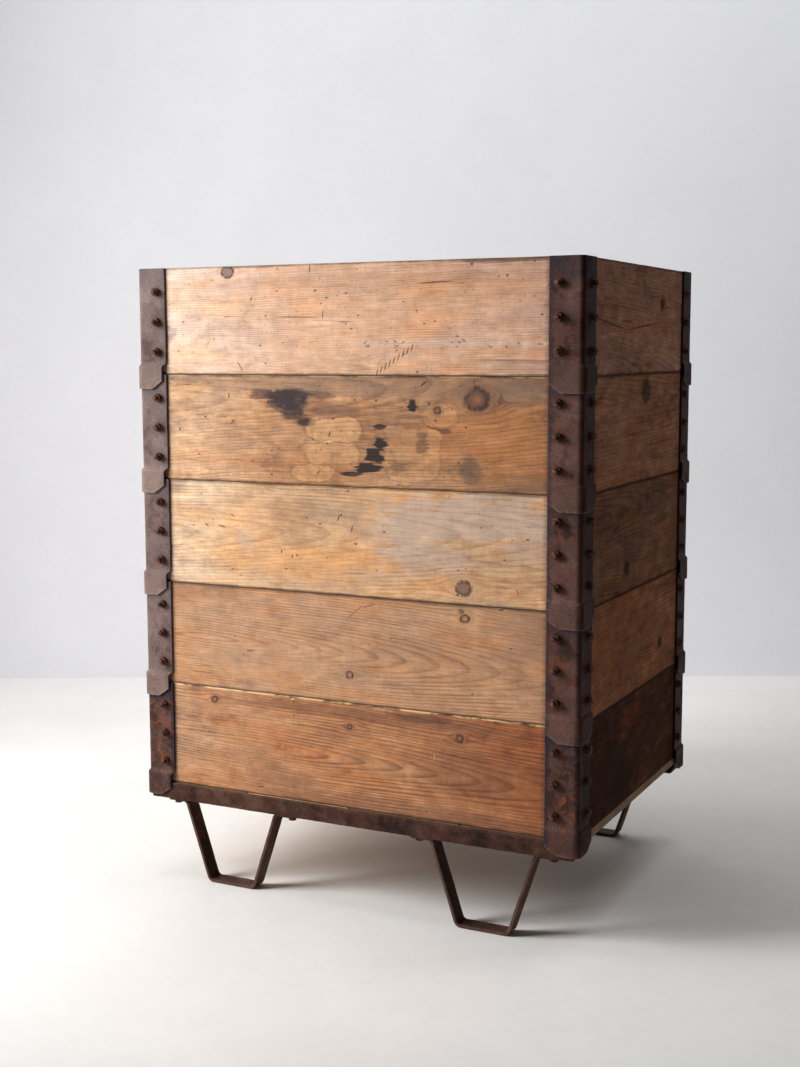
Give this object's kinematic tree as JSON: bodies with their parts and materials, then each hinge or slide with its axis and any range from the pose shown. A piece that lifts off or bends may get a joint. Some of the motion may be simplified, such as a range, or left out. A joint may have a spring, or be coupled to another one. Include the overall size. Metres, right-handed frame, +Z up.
{
  "type": "stacking timber crate",
  "caption": "Tall open timber crate of stacked board collars with joggled steel corner angles, on a steel-railed base with bent strap legs.",
  "frame": {"origin": "on the floor, under the middle of the crate's plan", "axes": "+Z up, +X along the wide front towards its right-hand end, -Y out of the wide front"},
  "size_m": [0.698, 0.5248, 0.911],
  "materials": {
    "collar_wood": "worn, oiled softwood",
    "base_wood": "raw softwood",
    "angle_steel": "brown patina with rust",
    "base_steel": "dark brown patina",
    "fastener_steel": "rusty"
  },
  "bodies": {
    "base": {"front_rail": "base_steel", "back_rail": "base_steel", "bearers": "base_wood", "base_boards": "base_wood", "front_left_leg": "base_steel", "front_right_leg": "base_steel", "back_left_leg": "base_steel", "back_right_leg": "base_steel", "leg_bolts": "fastener_steel", "leg_nuts": "fastener_steel"},
    "collar_1": {"collar_1_front_board": "collar_wood", "collar_1_back_board": "collar_wood", "collar_1_left_board": "collar_wood", "collar_1_right_board": "collar_wood", "collar_1_front_left_angle": "angle_steel", "collar_1_front_right_angle": "angle_steel", "collar_1_back_left_angle": "angle_steel", "collar_1_back_right_angle": "angle_steel", "collar_1_bolts": "fastener_steel", "collar_1_nuts": "fastener_steel"},
    "collar_2": {"collar_2_front_board": "collar_wood", "collar_2_back_board": "collar_wood", "collar_2_left_board": "collar_wood", "collar_2_right_board": "collar_wood", "collar_2_front_left_angle": "angle_steel", "collar_2_front_right_angle": "angle_steel", "collar_2_back_left_angle": "angle_steel", "collar_2_back_right_angle": "angle_steel", "collar_2_bolts": "fastener_steel", "collar_2_nuts": "fastener_steel"},
    "collar_3": {"collar_3_front_board": "collar_wood", "collar_3_back_board": "collar_wood", "collar_3_left_board": "collar_wood", "collar_3_right_board": "collar_wood", "collar_3_front_left_angle": "angle_steel", "collar_3_front_right_angle": "angle_steel", "collar_3_back_left_angle": "angle_steel", "collar_3_back_right_angle": "angle_steel", "collar_3_bolts": "fastener_steel", "collar_3_nuts": "fastener_steel"},
    "collar_4": {"collar_4_front_board": "collar_wood", "collar_4_back_board": "collar_wood", "collar_4_left_board": "collar_wood", "collar_4_right_board": "collar_wood", "collar_4_front_left_angle": "angle_steel", "collar_4_front_right_angle": "angle_steel", "collar_4_back_left_angle": "angle_steel", "collar_4_back_right_angle": "angle_steel", "collar_4_bolts": "fastener_steel", "collar_4_nuts": "fastener_steel"},
    "collar_5": {"collar_5_front_board": "collar_wood", "collar_5_back_board": "collar_wood", "collar_5_left_board": "collar_wood", "collar_5_right_board": "collar_wood", "collar_5_front_left_angle": "angle_steel", "collar_5_front_right_angle": "angle_steel", "collar_5_back_left_angle": "angle_steel", "collar_5_back_right_angle": "angle_steel", "collar_5_bolts": "fastener_steel", "collar_5_nuts": "fastener_steel"}
  },
  "joints": [
    {"name": "collar_1_lift", "type": "slide", "parent": "base", "child": "collar_1", "axis": [0, 0, 1], "range_m": [0, 0.08]},
    {"name": "collar_2_lift", "type": "slide", "parent": "collar_1", "child": "collar_2", "axis": [0, 0, 1], "range_m": [0, 0.08]},
    {"name": "collar_3_lift", "type": "slide", "parent": "collar_2", "child": "collar_3", "axis": [0, 0, 1], "range_m": [0, 0.08]},
    {"name": "collar_4_lift", "type": "slide", "parent": "collar_3", "child": "collar_4", "axis": [0, 0, 1], "range_m": [0, 0.08]},
    {"name": "collar_5_lift", "type": "slide", "parent": "collar_4", "child": "collar_5", "axis": [0, 0, 1], "range_m": [0, 0.08]}
  ]
}
